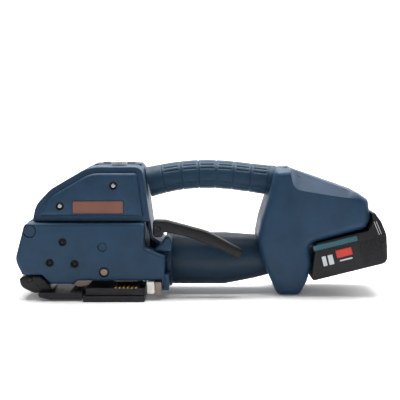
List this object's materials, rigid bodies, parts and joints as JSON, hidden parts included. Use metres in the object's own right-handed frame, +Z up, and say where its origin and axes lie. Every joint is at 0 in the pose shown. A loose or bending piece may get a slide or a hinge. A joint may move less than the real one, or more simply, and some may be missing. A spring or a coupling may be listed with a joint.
{
  "type": "battery strapping tool",
  "caption": "Hand-held battery strapping tool: strap head with jaw, lever and weld shoe, arched grip, motor tube and slide-on battery.",
  "frame": {"origin": "bottom centre of the tool's box, on the surface that the base plate and rear foot rest on", "axes": "+X along the tool towards the battery, +Z up, -Y the side where the strap goes in"},
  "size_m": [0.3722, 0.114, 0.1368],
  "materials": {
    "shell": "satin moulded blue-grey nylon",
    "grip": "soft overmoulded grip",
    "cap": "dark blue moulded caps",
    "black_plastic": "satin black nylon",
    "black_metal": "blackened steel",
    "steel": "bright machined steel",
    "dark_steel": "dark hardened steel",
    "aluminium": "cast and machined",
    "brass": "cut teeth",
    "label": "bronze-coloured rating plate, left blank",
    "ivory": "light moulded plastic",
    "belt": "toothed belt rubber",
    "teal": "printed stripe",
    "red": "printed badge and button",
    "board": "solder mask",
    "lens": "frosted light pipe",
    "cells": "shrink-wrapped cells"
  },
  "bodies": {
    "housing": {"head_shell": "shell", "upper_cover": "shell", "lower_cover": "shell", "label_plate": "label", "hole_plug": "cap", "pivot_cap": "cap", "weld_pin": "dark_steel", "control_panel": "black_plastic", "head_frame": "aluminium", "gear_plate": "aluminium", "base_plate": "black_metal", "weld_anvil": "brass", "strap_guide": "ivory", "back_plate": "dark_steel", "rocker_pin": "steel", "lever_bracket": "dark_steel", "lever_pin": "steel", "drive_belt": "belt", "gearbox_case": "aluminium", "motor_can": "black_metal", "motor_tube": "shell", "grip_near": "shell", "grip_far": "shell", "grip_sleeve": "grip", "status_lens": "lens", "control_board": "board", "terminal_block": "black_plastic", "cover_screw_1": "steel", "cover_screw_2": "steel", "cover_screw_3": "steel", "cover_screw_4": "steel", "cover_screw_5": "steel"},
    "lever": {"lever": "black_plastic"},
    "rocker": {"rocker": "black_plastic", "rocker_plate": "black_metal"},
    "pull_rod": {"pull_rod": "steel"},
    "tension_wheel": {"tension_wheel": "dark_steel", "tension_shaft": "steel", "tension_gear": "steel"},
    "idler": {"idler_shaft": "steel", "idler_gear": "steel"},
    "cross_shaft": {"cross_shaft": "steel", "drive_gear": "steel", "face_gear": "steel"},
    "motor_shaft": {"motor_shaft": "steel"},
    "eccentric": {"eccentric_shaft": "steel"},
    "weld_plate": {"weld_plate": "dark_steel"},
    "cutter": {"cutter_blade": "steel"},
    "dial": {"tension_dial": "ivory"},
    "tension_button": {"tension_button": "red"},
    "weld_button": {"weld_button": "teal"},
    "battery": {"battery_case": "black_plastic", "battery_lid": "black_plastic", "cell_pack": "cells", "battery_stripe": "teal", "battery_badge": "red"},
    "latch_near": {"battery_latch_near": "black_plastic"},
    "latch_far": {"battery_latch_far": "black_plastic"}
  },
  "joints": [
    {"name": "lever_hinge", "type": "hinge", "parent": "housing", "child": "lever", "pos_m": [-0.04496, -0.0305, 0.0695], "axis": [0, -1, 0], "range_deg": [0, 26], "stiffness_Nm_per_rad": 0.6, "springref_deg": -22.92},
    {"name": "rocker_hinge", "type": "hinge", "parent": "housing", "child": "rocker", "pos_m": [-0.17245, -0.025, 0.0195], "axis": [0, 1, 0], "range_deg": [0, 9]},
    {"name": "pull_rod_slide", "type": "slide", "parent": "housing", "child": "pull_rod", "axis": [-1, 0, 0], "range_m": [0, 0.008]},
    {"name": "tension_wheel_spin", "type": "hinge", "parent": "housing", "child": "tension_wheel", "pos_m": [-0.12195, 0.007, 0.0255], "axis": [0, 1, 0], "continuous": true},
    {"name": "idler_spin", "type": "hinge", "parent": "housing", "child": "idler", "pos_m": [-0.10197, 0.007, 0.04366], "axis": [0, 1, 0], "continuous": true},
    {"name": "cross_shaft_spin", "type": "hinge", "parent": "housing", "child": "cross_shaft", "pos_m": [-0.07695, 0.007, 0.0335], "axis": [0, 1, 0], "continuous": true},
    {"name": "motor_shaft_spin", "type": "hinge", "parent": "housing", "child": "motor_shaft", "pos_m": [-0.06295, 0.007, 0.0335], "axis": [1, 0, 0], "continuous": true},
    {"name": "eccentric_spin", "type": "hinge", "parent": "housing", "child": "eccentric", "pos_m": [-0.06295, -0.02, 0.036], "axis": [1, 0, 0], "continuous": true},
    {"name": "weld_plate_slide", "type": "slide", "parent": "housing", "child": "weld_plate", "axis": [0, 1, 0], "range_m": [-0.001, 0.001]},
    {"name": "cutter_slide", "type": "slide", "parent": "housing", "child": "cutter", "axis": [0, 0, -1], "range_m": [0, 0.0025], "stiffness_N_per_m": 400, "springref_m": -0.002},
    {"name": "dial_turn", "type": "hinge", "parent": "housing", "child": "dial", "pos_m": [-0.08496, -0.012, 0.134], "axis": [0, 0, 1], "range_deg": [-135, 135]},
    {"name": "tension_button_press", "type": "slide", "parent": "housing", "child": "tension_button", "axis": [0, 0, -1], "range_m": [0, 0.0012], "stiffness_N_per_m": 400, "springref_m": -0.002},
    {"name": "weld_button_press", "type": "slide", "parent": "housing", "child": "weld_button", "axis": [0, 0, -1], "range_m": [0, 0.0012], "stiffness_N_per_m": 400, "springref_m": -0.002},
    {"name": "battery_slide", "type": "slide", "parent": "housing", "child": "battery", "axis": [0.9703, 0, 0.2419], "range_m": [0, 0.08]},
    {"name": "latch_near_press", "type": "slide", "parent": "battery", "child": "latch_near", "axis": [0, 1, 0], "range_m": [0, 0.002], "stiffness_N_per_m": 400, "springref_m": -0.002},
    {"name": "latch_far_press", "type": "slide", "parent": "battery", "child": "latch_far", "axis": [0, -1, 0], "range_m": [0, 0.002], "stiffness_N_per_m": 400, "springref_m": -0.002}
  ],
  "couplings": [
    {"joint": "rocker_hinge", "follows": "lever_hinge", "ratio": 0.33333},
    {"joint": "pull_rod_slide", "follows": "lever_hinge", "m_per_rad": 0.016},
    {"joint": "idler_spin", "follows": "tension_wheel_spin", "ratio": -0.5},
    {"joint": "cross_shaft_spin", "follows": "tension_wheel_spin", "ratio": 1},
    {"joint": "motor_shaft_spin", "follows": "tension_wheel_spin", "ratio": -2},
    {"joint": "eccentric_spin", "follows": "tension_wheel_spin", "ratio": -2.8}
  ]
}
